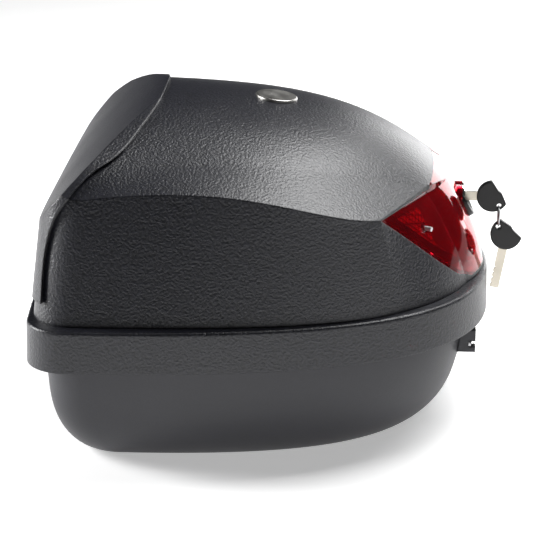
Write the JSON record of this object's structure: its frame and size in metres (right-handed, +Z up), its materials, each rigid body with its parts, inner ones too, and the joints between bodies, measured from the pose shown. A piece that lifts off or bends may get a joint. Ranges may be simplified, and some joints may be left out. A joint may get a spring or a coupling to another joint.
{
  "type": "motorcycle top case",
  "caption": "Hard luggage top case for a motorcycle or scooter, with a hinged domed lid, a red rear lens and a key lock with two keys.",
  "frame": {"origin": "middle of the flat underside, on the bottom plane", "axes": "+X to the rear (lock and lens side), +Y to the case's right side seen from the lock, +Z up"},
  "size_m": [0.425, 0.4, 0.2875],
  "materials": {
    "lid_plastic": "coarse grained, satin",
    "tub_plastic": "fine grained, satin",
    "black_plastic": "satin",
    "red_lens": "clear red, gloss",
    "dark_backing": "dark, semi-gloss",
    "badge_metal": "brushed",
    "seal_rubber": "matt",
    "chrome": "polished",
    "steel": "zinc plated",
    "key_metal": "nickel plated"
  },
  "bodies": {
    "base": {"tub_shell": "tub_plastic", "rim_seal": "seal_rubber", "carry_handle": "tub_plastic", "grip_screws": "steel", "striker": "steel", "striker_screws": "steel", "hinge_brackets": "steel", "hinge_bracket_screws": "steel", "mechanism_cover": "black_plastic", "cover_screws": "steel", "dock_plate": "black_plastic", "dock_screws": "steel", "dock_spring": "steel"},
    "lid": {"lid_shell": "lid_plastic", "lid_rim_band": "lid_plastic", "reflector_lens": "red_lens", "reflector_backing": "dark_backing", "reflex_panel_left": "red_lens", "reflex_panel_right": "red_lens", "lens_screws": "steel", "roof_badge": "badge_metal", "lock_body": "chrome", "lock_bezel": "black_plastic", "lock_nut": "steel", "latch_bracket": "steel", "latch_bracket_screws": "steel", "hook_pin": "steel", "hinge_leaves": "steel", "leaf_screws": "steel", "hinge_pins": "steel"},
    "plug": {"lock_plug": "chrome", "lock_cam": "steel", "cam_screw": "steel"},
    "key": {"key_blade": "key_metal", "key_head": "black_plastic"},
    "ring": {"key_ring": "steel"},
    "spare_key": {"spare_key_blade": "key_metal", "spare_key_head": "black_plastic"},
    "hook": {"latch_hook": "steel"},
    "dock_slider": {"dock_latch": "black_plastic"}
  },
  "joints": [
    {"name": "lid_hinge", "type": "hinge", "parent": "base", "child": "lid", "pos_m": [-0.188, 0, 0.097], "axis": [0, -1, 0], "range_deg": [0, 80]},
    {"name": "lock_turn", "type": "hinge", "parent": "lid", "child": "plug", "pos_m": [0.17, 0, 0.19081], "axis": [-1, 0, 0], "range_deg": [0, 90]},
    {"name": "hook_swing", "type": "hinge", "parent": "lid", "child": "hook", "pos_m": [0.154, 0, 0.152], "axis": [0, -1, 0], "range_deg": [0, 11]},
    {"name": "key_pull", "type": "slide", "parent": "plug", "child": "key", "axis": [1, 0, 0], "range_m": [0, 0.032]},
    {"name": "ring_swing", "type": "hinge", "parent": "key", "child": "ring", "pos_m": [0.206, 0, 0.18136], "axis": [0, -1, 0], "range_deg": [-0.5, 45]},
    {"name": "spare_swing", "type": "hinge", "parent": "ring", "child": "spare_key", "pos_m": [0.206, 0, 0.16396], "axis": [0, -1, 0], "range_deg": [-0.5, 45]},
    {"name": "dock_release", "type": "slide", "parent": "base", "child": "dock_slider", "axis": [1, 0, 0], "range_m": [0, 0.008], "stiffness_N_per_m": 400, "springref_m": -0.006, "deforming": ["dock_spring"]}
  ],
  "couplings": [
    {"joint": "hook_swing", "follows": "lock_turn", "ratio": 0.12222}
  ]
}
